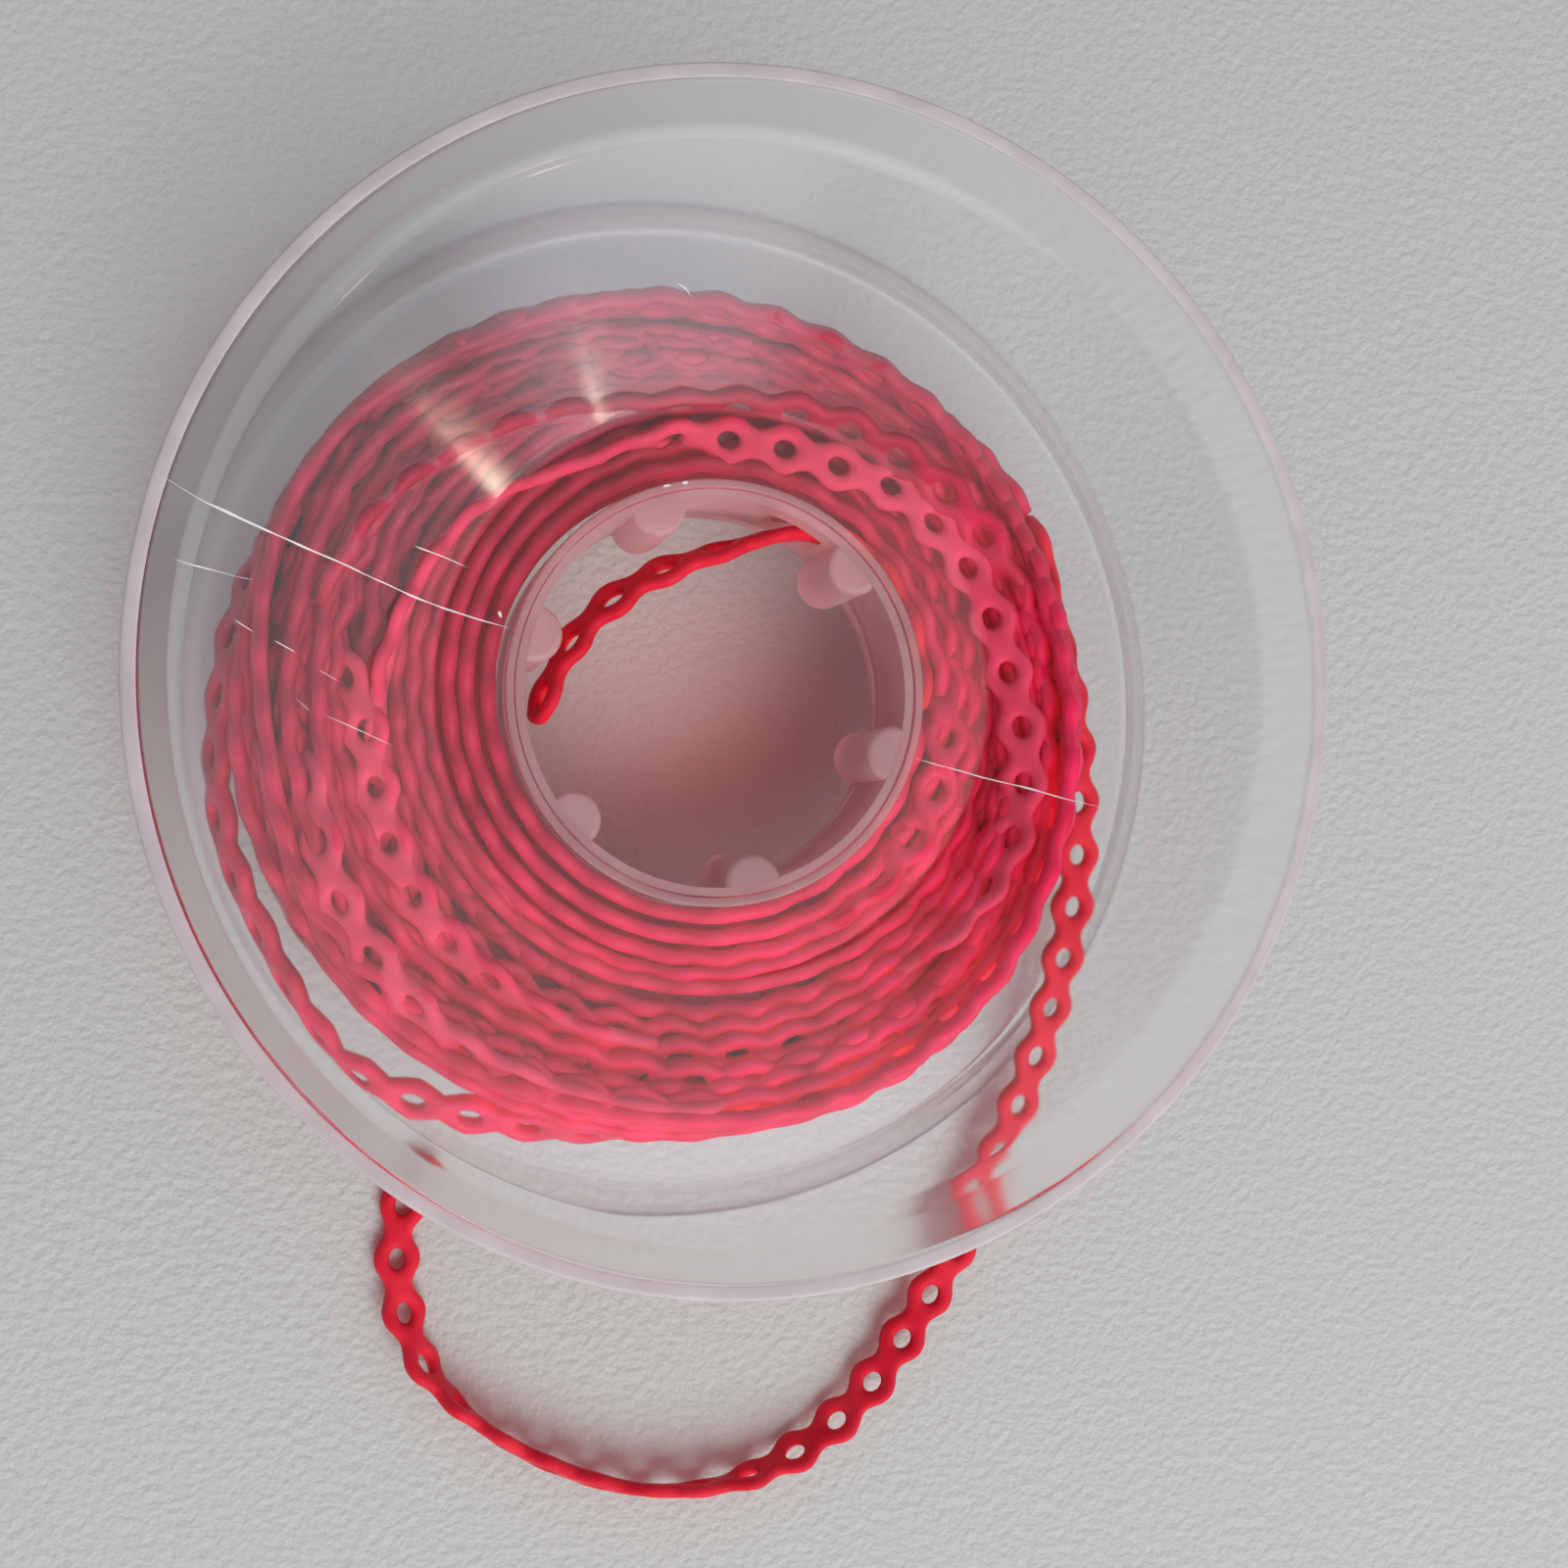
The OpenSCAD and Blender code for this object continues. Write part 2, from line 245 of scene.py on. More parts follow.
skin_rough.inputs["To Max"].default_value = 0.46
elastomer_skin.links.new(skin_grain.outputs["Fac"], skin_rough.inputs["Value"])
elastomer_skin.links.new(skin_rough.outputs["Result"], skin_result.inputs["Roughness"])
skin_bump = elastomer_skin.nodes.new("ShaderNodeBump")
skin_bump.inputs["Strength"].default_value = 0.35
skin_bump.inputs["Distance"].default_value = 0.02 * MM
elastomer_skin.links.new(skin_grain.outputs["Fac"], skin_bump.inputs["Height"])
elastomer_skin.links.new(skin_bump.outputs["Normal"], skin_result.inputs["Normal"])


def pass_light(material, colour):
    """Lets light through to what lies behind, in that colour, so that the shadow is tinted."""
    tree = material.node_tree
    path = tree.nodes.new("ShaderNodeLightPath")
    tint = tree.nodes.new("ShaderNodeBsdfTransparent")
    tint.inputs["Color"].default_value = (*colour, 1)
    mix = tree.nodes.new("ShaderNodeMixShader")
    tree.links.new(path.outputs["Is Shadow Ray"], mix.inputs["Fac"])
    tree.links.new(tree.nodes["Principled BSDF"].outputs["BSDF"], mix.inputs[1])
    tree.links.new(tint.outputs["BSDF"], mix.inputs[2])
    tree.links.new(mix.outputs["Shader"], tree.nodes["Material Output"].inputs["Surface"])
    return path, tint, mix


def elastomer(name, deep, pale, passed, specular, subsurface):
    """The chain's material between two tones; passed is the light that it lets through."""
    material = bpy.data.materials.new(name)
    material.use_nodes = True
    tree = material.node_tree
    shader = tree.nodes["Principled BSDF"]
    shader.inputs["IOR"].default_value = 1.45
    shader.inputs["Specular IOR Level"].default_value = specular
    shader.inputs["Subsurface Weight"].default_value = subsurface
    shader.inputs["Subsurface Radius"].default_value = (1.0, 0.10, 0.12)
    shader.inputs["Subsurface Scale"].default_value = 0.9 * MM
    skin = tree.nodes.new("ShaderNodeGroup")
    skin.node_tree = elastomer_skin
    skin.inputs["Deep Tone"].default_value = (*deep, 1)
    skin.inputs["Pale Tone"].default_value = (*pale, 1)
    tree.links.new(skin.outputs["Color"], shader.inputs["Base Color"])
    tree.links.new(skin.outputs["Roughness"], shader.inputs["Roughness"])
    tree.links.new(skin.outputs["Normal"], shader.inputs["Normal"])
    pass_light(material, passed)
    return material


LOOSE_PASS = (0.56, 0.06, 0.07)  # the light that a loose length lets through
chain_red = elastomer(
    "red_elastomer", (0.62, 0.010, 0.030), (0.80, 0.024, 0.052), LOOSE_PASS,
    specular=0.22, subsurface=0.05,
)
ring_fine = make_ring("ring_fine", 16, hole_fit=0.84, rim_fit=1.12, edge=0.2 * MM)

lead_route = Route([
    (19.21, 10.75, 7.37, -90),
    (20.51, 8.49, 7.37, -82),
    (21.4, 5.4, 7.1, -60),
    (22.1, 2.0, 6.9, -36),
    (22.8, -1.4, 6.2, -16),
    (23.3, -4.8, 5.5, -6),
    (23.5, -8.2, 5.0, -2),
    (23.4, -11.7, 4.5, -4),
    (23.0, -15.2, 3.8, -6),
    (22.4, -18.7, 2.9, -8),
    (21.5, -22.3, 2.1, -8),
    (20.1, -26.2, 1.6, -6),
    (18.4, -30.1, 1.4, -6),
    (16.4, -33.9, 1.3, 2),
    (14.0, -37.6, 1.2, 13),
    (11.2, -41.1, 1.2, 38),
    (7.6, -43.8, 1.3, 55),
    (3.3, -45.4, 1.5, 95),
    (-1.7, -45.5, 1.5, 108),
    (-6.8, -43.9, 1.5, 110),
    (-11.2, -41.3, 1.5, 98),
    (-14.3, -38.0, 1.3, 54),
    (-15.7, -34.2, 0.8, 16),
    (-15.9, -30.6, 0.5, 0),
    (-15.2, -27.2, 0.5, 0),
], 8)


def make_free_end(name, node, route):
    """One free end of the chain, in place of its CAD node."""
    bm = bmesh.new()
    lay_chain(bm, ring_fine, route)
    piece = finish_piece(bm, name, chain_red)
    smooth = piece.modifiers.new("rounded", "SUBSURF")
    smooth.levels = smooth.render_levels = 2
    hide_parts(node)


make_free_end("loose_outer_end", "chain_lead", lead_route)

# ---- Inner free end of the chain -------------------------------------------
# The first length of chain runs round the hub, passes in through a slot in both hub walls,
# and lies along the inside of the bore. It is cut off too, and leans on the bore's far side.

tail_route = Route([
    (11.76, -0.74, 10.38, 90),
    (11.91, 0.35, 10.38, 90),
    (11.85, 1.8, 10.3, 90),
    (11.3, 4.2, 10.3, 90),
    (10.2, 6.4, 10.3, 90),
    (8.6, 8.1, 10.3, 90),
    (6.5, 8.9, 10.3, 90),
    (4.2, 8.85, 10.2, 84),
    (2.0, 8.2, 10.1, 76),
    (-0.4, 7.45, 10.0, 64),
    (-2.8, 6.5, 9.8, 54),
    (-5.0, 5.1, 9.6, 52),
    (-6.8, 3.3, 9.4, 56),
    (-8.1, 1.1, 9.3, 66),
    (-9.1, -1.5, 9.1, 72),
], 8)
make_free_end("loose_inner_end", "chain_tail", tail_route)

# ---- Chain wound at the hub ------------------------------------------------
# The strand is wound on in one length. Close to the hub it stands neatly on edge in a tight
# spiral against the hub wall. In the winding its red is a bluer copy, with the clear flange's pale
# veil painted into it, and it is glossier than its loose ends.

# Sizes here and in the sections below are in mm, and heights run from the base.
MID_Z = 10.25  # the middle plane between the flanges
ROOM_HALF = 1.65  # half the room between the flanges' flat parts
FLAT_R = 15.2  # where the flat parts end and the cones begin
CONE_RISE = 0.4355
HALF_WIDE, HALF_THICK = 1.3, 0.4  # of the chain
WAVE = 40  # points in one turn
ring_plain = make_ring("ring_plain", 12, hole_fit=0.98, rim_fit=1.0, edge=0.16 * MM)

# Painted shade: the winding's colour is scaled darker towards the upper left and lighter towards
# the lower right, the side the light comes from.

winding_painted_shade, shade_given, shade_result = make_group(
    "winding_painted_shade", [("Color", "Color")], [("Color", "Color")]
)
shade_place = winding_painted_shade.nodes.new("ShaderNodeTexCoord")
shade_away = winding_painted_shade.nodes.new("ShaderNodeVectorMath")
shade_away.operation = "DOT_PRODUCT"
shade_away.inputs[1].default_value = (-0.5, 0.86, 0.0)
winding_painted_shade.links.new(shade_place.outputs["Object"], shade_away.inputs[0])
shade_share = winding_painted_shade.nodes.new("ShaderNodeMapRange")
shade_share.inputs["From Min"].default_value = -16 * MM
shade_share.inputs["From Max"].default_value = 20 * MM
shade_share.inputs["To Min"].default_value = 1.22
shade_share.inputs["To Max"].default_value = 0.5
winding_painted_shade.links.new(shade_away.outputs["Value"], shade_share.inputs["Value"])
shade_tone = winding_painted_shade.nodes.new("ShaderNodeVectorMath")
shade_tone.operation = "SCALE"
winding_painted_shade.links.new(shade_given.outputs["Color"], shade_tone.inputs[0])
winding_painted_shade.links.new(shade_share.outputs["Result"], shade_tone.inputs["Scale"])
winding_painted_shade.links.new(shade_tone.outputs["Vector"], shade_result.inputs["Color"])


WOUND_PASS = (0.78, 0.04, 0.07)


def wound_elastomer(name, deep, pale):
    """The chain's material in the winding, which passes much of the light that falls on it, with
    painted shade over its colour.
    """
    material = elastomer(name, deep, pale, WOUND_PASS, specular=0.55, subsurface=0.15)
    tree = material.node_tree
    base = tree.nodes["Principled BSDF"].inputs["Base Color"]
    # painted shade: darkens the colour towards the upper left of the winding
    depth = tree.nodes.new("ShaderNodeGroup")
    depth.node_tree = winding_painted_shade
    tree.links.new(base.links[0].from_socket, depth.inputs["Color"])
    tree.links.new(depth.outputs["Color"], base)
    return material


wound_red = wound_elastomer("red_elastomer_wound", (0.58, 0.005, 0.044), (0.90, 0.012, 0.100))


def share(value, start, end):
    """How far value has come on the way from start to end, between 0 and 1."""
    return min(1.0, max(0.0, (value - start) / (end - start)))


def wander(s, seed, reach):
    """A slow drift between about -1 and 1 along a strand; reach is its wavelength."""
    return noise.noise(Vector((s / reach, seed * 7.31, seed * 1.7))) * 1.6


def neat_turns(seed, first_r, last_r):
    """The strip standing on edge in a close spiral round the hub, which fills the space there.

    Its first turns are drawn in towards the hub, and on one side all but the innermost dip
    and lean under the lengths that cross over them.
    """
    pitch, first_step = 0.93, 0.27  # from turn to turn, and more in the first
    drawn_in, drawn_turns = 0.4, 4
    start, dip_way = math.radians(-6), math.radians(40)
    lift, dip, dip_lean = 0.22, 0.95, 30
    neat_lean, loose_lean = 5, 15
    entries = []
    t, s = 0.0, 0.0
    while True:
        hug = drawn_in * abs(math.sin(math.pi * t)) * max(0.0, 1 - t / drawn_turns)
        radius = first_r + pitch * t + first_step * min(t, 1) - hug
        if t > 2 and radius > last_r:
            return entries
        angle = start - 2 * math.pi * t
        under = share(math.cos(angle - dip_way), 0, 0.625) * share(radius, 12.4, 13.4)
        height = MID_Z + lift + 0.12 * wander(s, seed + 1, 13) - dip * under
        lean = neat_lean + loose_lean * share(radius, 13.5, 15.5)
        radius += 0.09 * wander(s, seed, 15)
        roll = 90 + lean * wander(s, seed + 2, 21) - dip_lean * under
        entries.append((radius * math.cos(angle), radius * math.sin(angle), height, roll))
        t += 1 / WAVE
        s += 2 * math.pi * radius / WAVE


def wind(name, strands, ring=ring_plain, material=wound_red):
    """One piece made of several lengths of chain, with more steps between far points."""
    bm = bmesh.new()
    for entries in strands:
        lay_chain(bm, ring, Route(entries, 4 if len(entries) < 12 else 2))
    piece = finish_piece(bm, name, material)
    return piece


hub_turns = wind("wound_chain_hub", [neat_turns(31, first_r=11.64, last_r=17.3)])
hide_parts("chain_turns")

# ---- Chain on the upper face -----------------------------------------------
# Farther out the strand leans, twists and slides over itself in looser turns just under the
# upper flange. Two lengths stray from the rest and hold it down.

LOOSE_SHIFT = 1.9  # how far the outer turns sit to the left
LOOSE_FULL_R = 23.5  # where they sit all that way over
LOOSE_SLANT = 0.25  # and towards the loop on the surface, as a share of that
TIGHT_PULL = 2.0  # how far they are drawn in at the upper right
TIGHT_WAY = math.radians(50)
SAG = 1.5  # how far they hang below the upper flange at the top left
SAG_WAY = math.radians(120)
LEAST_DEPTH = 0.06  # between the strip and a flange
STRAY_SINK, STRAY_SINK_LENGTH = 2.0, 5.0


def eccentric(radius, angle):
    """Plan position on a turn of that radius, round the hub or, farther out, beside it."""
    shift = LOOSE_SHIFT * share(radius, FLAT_R, LOOSE_FULL_R)
    pull = TIGHT_PULL * max(0.0, math.cos(angle - TIGHT_WAY)) * share(radius, 17, 22)
    drawn = radius - pull
    return drawn * math.cos(angle) - shift, drawn * math.sin(angle) - LOOSE_SLANT * shift


def room(radius):
    """Half the height between the flanges at that radius."""
    return ROOM_HALF + CONE_RISE * max(0.0, radius - FLAT_R)


def face_turns(seed, side, radii, pitch, lean, depth, start):
    """A looser spiral just under one flange; side is 1 for the upper, -1 for the lower.

    It winds from the first of the radii to the last. Lean, in degrees from upright, and depth
    below the flange are each given with their spread.
    """
    first_r, last_r = radii
    entries = []
    t, s = 0.0, 0.0
    while first_r + pitch * t < last_r:
        radius = first_r + pitch * t + 0.5 * wander(s, seed, 20)
        angle = start - 2 * math.pi * t
        x, y = eccentric(radius, angle)
        tilt = lean[0] + lean[1] * wander(s, seed + 3, 19)
        lying, standing = abs(math.sin(math.radians(tilt))), abs(math.cos(math.radians(tilt)))
        near = math.hypot(x, y) - HALF_WIDE * lying - HALF_THICK * standing
        deep = max(LEAST_DEPTH, depth[0] + depth[1] * wander(s, seed + 5, 13))
        deep += 0.8 * max(0, radius - 21.6)
        if side > 0:
            deep += SAG * max(0, math.cos(angle - SAG_WAY)) * share(radius, 17, 21)
        height = max(0.2, room(near) - HALF_WIDE * standing - HALF_THICK * lying - deep)
        entries.append((x, y, MID_Z + side * height, 90 - side * tilt))
        t += 1 / WAVE
        s += 2 * math.pi * radius / WAVE
    return entries


def stray(points, steps=6):
    """A strand that leaves the rest, filled in from a few points; its ends sink below."""
    line = Route(points, steps)
    entries = []
    for p, roll, at in zip(line.place, line.roll, line.at):
        sink = max(0.0, 1 - min(at, line.length - at) / (STRAY_SINK_LENGTH * MM))
        height = p.z / MM - STRAY_SINK * sink * sink
        entries.append((p.x / MM, p.y / MM, height, math.degrees(roll)))
    return entries


wind("wound_chain_upper", [
    face_turns(2, 1, radii=(17.7, 22.3), pitch=0.98, lean=(-30, 46), depth=(0.25, 0.5), start=1.2),
    face_turns(3, 1, radii=(18.0, 22.2), pitch=1.1, lean=(-48, 44), depth=(0.7, 0.6), start=2.9),
    face_turns(4, 1, radii=(17.2, 22.0), pitch=1.0, lean=(-20, 50), depth=(1.3, 0.5), start=4.3),
    face_turns(5, 1, radii=(18.4, 21.8), pitch=1.1, lean=(-40, 40), depth=(2.0, 0.5), start=0.2),
    stray([
        (-20.6, 4.6, 13.9, 74), (-17.9, 9.0, 13.2, 80), (-13.9, 12.3, 12.6, 86),
        (-8.9, 14.6, 11.9, 88), (-3.6, 15.3, 11.8, 84), (1.8, 15.5, 11.9, 70),
        (7.0, 14.6, 12.0, 52), (11.5, 12.1, 12.2, 40), (14.8, 8.9, 12.4, 40),
        (17.0, 5.0, 12.8, 46),
    ]),
    stray([
        (12.9, 1.8, 11.3, 6), (13.1, -1.3, 11.3, 4), (12.6, -4.4, 11.3, 6), (11.4, -7.2, 11.3, 16),
        (9.4, -9.7, 11.2, 40), (6.7, -11.8, 11.0, 72), (3.4, -13.3, 10.9, 88),
    ]),
])

# ---- Crossing lengths ------------------------------------------------------
# Three lengths of chain lie face up over the turns and touch the upper flange. They are the
# same elastomer in a paler, bluer copy: painted light where the clear wall presses on it.

# a paler copy of the red: painted light where the strands touch the flange
painted_pale_red = elastomer(
    "red_elastomer_touching_painted_pale", (0.76, 0.042, 0.105), (0.92, 0.074, 0.165), LOOSE_PASS,
    specular=0.22, subsurface=0.05,
)

crossing = wind("wound_chain_crossing", [
    stray([
        (-17.9, -3.0, 12.9, 70), (-17.6, 1.0, 12.7, 80), (-15.9, 5.4, 12.1, 88),
        (-12.8, 9.5, 11.4, 90), (-9.7, 11.1, 10.9, 90), (-6.5, 12.3, 10.7, 88),
        (-3.9, 13.4, 10.8, 84), (-1.3, 13.9, 10.9, 62), (1.1, 13.6, 11.3, 24),
        (4.4, 13.1, 11.42, 8), (7.5, 12.2, 11.42, 4), (10.4, 11.1, 11.45, 6),
        (12.9, 8.8, 11.6, 12), (14.8, 6.1, 11.7, 16), (15.9, 3.3, 11.8, 20),
        (16.7, 0.2, 12.0, 22), (17.2, -2.8, 12.25, 24), (16.9, -6.3, 12.2, 38),
        (15.6, -9.6, 12.1, 56), (13.2, -12.6, 12.0, 76), (9.8, -15.2, 12.0, 88),
    ]),
    stray([
        (-19.9, 1.9, 13.5, 52), (-18.7, -1.1, 12.7, 30), (-18.1, -4.2, 12.6, 24),
        (-17.4, -7.5, 12.7, 22), (-16.1, -10.5, 12.8, 24), (-14.0, -13.2, 12.9, 34),
        (-11.0, -15.6, 12.8, 60), (-7.4, -17.4, 12.6, 84), (-3.0, -18.6, 12.6, 90),
    ]),
    stray([
        (-21.6, -3.4, 14.0, 66), (-21.0, -6.3, 13.8, 46), (-20.4, -9.3, 13.9, 32),
        (-19.0, -12.4, 13.9, 30), (-16.9, -15.0, 13.9, 42), (-14.4, -17.6, 13.7, 60),
        (-10.8, -19.6, 13.3, 74), (-6.4, -21.0, 13.2, 84), (-1.8, -21.7, 13.2, 88),
        (3.0, -21.2, 13.1, 84),
    ]),
], ring_fine, painted_pale_red)
rounded = crossing.modifiers.new("rounded", "SUBSURF")
rounded.levels = rounded.render_levels = 1

# ---- Chain round the outside -----------------------------------------------
# The last turns lie flat round the outside of the winding. One of them hangs loose on the
# left, and the strand leaves from here to its outer free end.

OUTSIDE_R = 22.9  # of the winding, at its middle height
OUTSIDE_WAVE = 48  # points in one turn


def side_turns(seed, turns, top, foot, start):
    """Strip lying flat round the outside of the winding, from one height to another.

    It starts lower and comes up to its height within the first ninth of a turn.
    """
    entries = []
    s = 0.0
    for i in range(turns * OUTSIDE_WAVE + 1):
        t = i / OUTSIDE_WAVE
        sink = 3.0 * max(0.0, 1 - 9 * t) ** 2
        height = top + (foot - top) * t / turns + 0.5 * wander(s, seed + 2, 19) - sink
        radius = OUTSIDE_R + 0.35 * wander(s, seed, 15) - 0.1 * (height - MID_Z) ** 2
        x, y = eccentric(radius, start - 2 * math.pi * t)
        entries.append((x, y, height, 90 - 18 * wander(s, seed + 4, 15)))
        s += 2 * math.pi * radius / OUTSIDE_WAVE
    return entries


wind("wound_chain_outside", [
    side_turns(11, turns=5, top=13.4, foot=6.9, start=0.5),
    side_turns(12, turns=3, top=12.2, foot=7.4, start=2.6),
    stray([
        (-22.6, 9.6, 10.4, 70), (-24.6, 4.6, 10.6, 52), (-25.6, 0.6, 10.4, 56),
        (-26.0, -4.0, 10.2, 64), (-25.4, -8.6, 10.0, 58), (-23.6, -12.7, 9.9, 66),
        (-21.9, -16.2, 9.9, 58), (-19.4, -19.6, 10.0, 44), (-15.4, -21.5, 10.2, 34),
        (-10.8, -22.6, 10.4, 44), (-6.0, -23.2, 10.5, 64), (-1.0, -22.9, 10.4, 84),
        (3.6, -21.9, 10.2, 90),
    ]),
    [
        (4.4, 18.4, 10.2, -90), (8.2, 17.9, 9.6, -90), (11.8, 16.8, 8.8, -90),
        (14.8, 15.1, 8.1, -90), (17.3, 13.1, 7.6, -90), (19.21, 10.75, 7.37, -90),
    ],
])

# ---- Chain on the lower face -----------------------------------------------
# The strand turns in the same way just above the lower flange, where it shows only from the
# sides and through the lower dish.

wind("wound_chain_lower", [
    face_turns(22, -1, radii=(17.4, 22.9), pitch=0.98, lean=(14, 30), depth=(0.22, 0.3), start=2.2),
    face_turns(23, -1, radii=(18.0, 22.4), pitch=1.25, lean=(48, 30), depth=(1.1, 0.5), start=4.0),
    face_turns(24, -1, radii=(15.9, 17.6), pitch=0.9, lean=(6, 20), depth=(0.3, 0.2), start=4.0),
])

# ---- Pressed inner turns ---------------------------------------------------
# The turns below the outer layer are pressed into one mass of elastomer, which shows only between
# the strands; its darker red is painted shade in those gaps. Its outer part sits to the left, as
# the turns over it do.

# a darker copy of the winding's red: painted shade between the strands
packed_shaded_red = wound_elastomer("red_elastomer_packed_shaded", (0.38, 0.003, 0.026), (0.56, 0.007, 0.048))

# Radius, and height over the middle plane
PACKED = [
    (11.5, -0.75), (15.4, -0.75), (17.6, -1.0), (20.8, -2.6),
    (20.8, 0.9), (17.6, 0.2), (15.4, 0.0), (11.5, -0.1),
]
PACKED_OUTER_R = 18
PACKED_SHIFT = (-1.8, -0.8, 0)

bm = bmesh.new()
corners = [bm.verts.new((r * MM, 0, (MID_Z + h) * MM)) for r, h in PACKED]
profile = [bm.edges.new((a, b)) for a, b in zip(corners, corners[1:] + corners[:1])]
bmesh.ops.spin(
    bm, geom=corners + profile, cent=(0, 0, 0), axis=(0, 0, 1),
    angle=2 * math.pi, steps=96, use_merge=True,
)
bmesh.ops.remove_doubles(bm, verts=bm.verts, dist=1e-6)
outer_part = [v for v in bm.verts if v.co.xy.length > PACKED_OUTER_R * MM]
bmesh.ops.translate(bm, verts=outer_part, vec=Vector(PACKED_SHIFT) * MM)
bmesh.ops.recalc_face_normals(bm, faces=bm.faces)
core = finish_piece(bm, "wound_chain_packed", packed_shaded_red)
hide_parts("chain_core")

# ---- Upper half ------------------------------------------------------------
# A dished disc of clear, faintly lilac styrene, injection moulded in one with its hub collar,
# which slides over the lower half's sleeve. Its skin is worn and has a few hairline cracks.

clear_plastic = bpy.data.materials.new("clear_styrene")
clear_plastic.use_nodes = True
clear_tree = clear_plastic.node_tree
clear_shader = clear_tree.nodes["Principled BSDF"]
clear_shader.inputs["Base Color"].default_value = (0.993, 0.987, 0.99, 1)
clear_shader.inputs["IOR"].default_value = 1.49
clear_shader.inputs["Transmission Weight"].default_value = 1.0
clear_place = clear_tree.nodes.new("ShaderNodeTexCoord")
clear_haze = clear_tree.nodes.new("ShaderNodeTexNoise")
clear_haze.inputs["Scale"].default_value = 90
clear_haze.inputs["Detail"].default_value = 5
clear_tree.links.new(clear_place.outputs["Object"], clear_haze.inputs["Vector"])
clear_rough = clear_tree.nodes.new("ShaderNodeMapRange")
clear_rough.inputs["From Min"].default_value = 0.3
clear_rough.inputs["From Max"].default_value = 0.75
clear_rough.inputs["To Min"].default_value = 0.025
clear_rough.inputs["To Max"].default_value = 0.09
clear_tree.links.new(clear_haze.outputs["Fac"], clear_rough.inputs["Value"])
clear_reach = clear_tree.nodes.new("ShaderNodeVectorMath")
clear_reach.operation = "MULTIPLY"
clear_reach.inputs[1].default_value = (1, 1, 0)
clear_tree.links.new(clear_place.outputs["Object"], clear_reach.inputs[0])
clear_radius = clear_tree.nodes.new("ShaderNodeVectorMath")
clear_radius.operation = "LENGTH"
clear_tree.links.new(clear_reach.outputs["Vector"], clear_radius.inputs[0])
clear_worn = clear_tree.nodes.new("ShaderNodeMapRange")
clear_worn.inputs["From Min"].default_value = 26.0 * MM
clear_worn.inputs["From Max"].default_value = 28.5 * MM
clear_worn.inputs["To Max"].default_value = 0.06
clear_tree.links.new(clear_radius.outputs["Value"], clear_worn.inputs["Value"])
clear_sum = clear_tree.nodes.new("ShaderNodeMath")
clear_tree.links.new(clear_rough.outputs["Result"], clear_sum.inputs[0])
clear_tree.links.new(clear_worn.outputs["Result"], clear_sum.inputs[1])
clear_tree.links.new(clear_sum.outputs["Value"], clear_shader.inputs["Roughness"])
clear_bump = clear_tree.nodes.new("ShaderNodeBump")
clear_bump.inputs["Strength"].default_value = 0.15
clear_bump.inputs["Distance"].default_value = 0.05 * MM
clear_tree.links.new(clear_haze.outputs["Fac"], clear_bump.inputs["Height"])
clear_scuff = clear_tree.nodes.new("ShaderNodeTexNoise")
clear_scuff.inputs["Scale"].default_value = 4200
clear_scuff.inputs["Detail"].default_value = 2
clear_tree.links.new(clear_place.outputs["Object"], clear_scuff.inputs["Vector"])
clear_fine = clear_tree.nodes.new("ShaderNodeBump")
clear_fine.inputs["Strength"].default_value = 0.6
clear_fine.inputs["Distance"].default_value = 0.0008 * MM
clear_tree.links.new(clear_scuff.outputs["Fac"], clear_fine.inputs["Height"])
clear_tree.links.new(clear_bump.outputs["Normal"], clear_fine.inputs["Normal"])
clear_tree.links.new(clear_fine.outputs["Normal"], clear_shader.inputs["Normal"])
clear_path, clear_pass, clear_shadow = pass_light(clear_plastic, (0.985, 0.978, 0.981))
clear_soft = clear_tree.nodes.new("ShaderNodeMixShader")
clear_tree.links.new(clear_path.outputs["Is Diffuse Ray"], clear_soft.inputs["Fac"])
clear_tree.links.new(clear_shadow.outputs["Shader"], clear_soft.inputs[1])
clear_tree.links.new(clear_pass.outputs["BSDF"], clear_soft.inputs[2])
clear_surface = clear_tree.nodes["Material Output"].inputs["Surface"]
clear_tree.links.new(clear_soft.outputs["Shader"], clear_surface)

# Where the moulding is thick or its skin is scuffed, on the rim, the hub ring and the posts,
# it looks milky: part of the light is scattered, and the lilac tint is stronger.

styrene_cloud, cloud_given, cloud_result = make_group(
    "styrene_cloud",
    [("Deep Tone", "Color"), ("Pale Tone", "Color")],
    [("Color", "Color"), ("Roughness", "Float")],
)
cloud_place = styrene_cloud.nodes.new("ShaderNodeTexCoord")
cloud_noise = styrene_cloud.nodes.new("ShaderNodeTexNoise")
cloud_noise.inputs["Scale"].default_value = 420
cloud_noise.inputs["Detail"].default_value = 4
styrene_cloud.links.new(cloud_place.outputs["Object"], cloud_noise.inputs["Vector"])
cloud_share = styrene_cloud.nodes.new("ShaderNodeMapRange")
cloud_share.inputs["From Min"].default_value = 0.35
cloud_share.inputs["From Max"].default_value = 0.7
styrene_cloud.links.new(cloud_noise.outputs["Fac"], cloud_share.inputs["Value"])
cloud_tone = styrene_cloud.nodes.new("ShaderNodeMix")
cloud_tone.data_type = "RGBA"
styrene_cloud.links.new(cloud_share.outputs["Result"], cloud_tone.inputs[0])
styrene_cloud.links.new(cloud_given.outputs["Deep Tone"], cloud_tone.inputs[6])
styrene_cloud.links.new(cloud_given.outputs["Pale Tone"], cloud_tone.inputs[7])
styrene_cloud.links.new(cloud_tone.outputs[2], cloud_result.inputs["Color"])
cloud_rough = styrene_cloud.nodes.new("ShaderNodeMapRange")
cloud_rough.inputs["To Min"].default_value = 0.3
cloud_rough.inputs["To Max"].default_value = 0.5
styrene_cloud.links.new(cloud_noise.outputs["Fac"], cloud_rough.inputs["Value"])
styrene_cloud.links.new(cloud_rough.outputs["Result"], cloud_result.inputs["Roughness"])


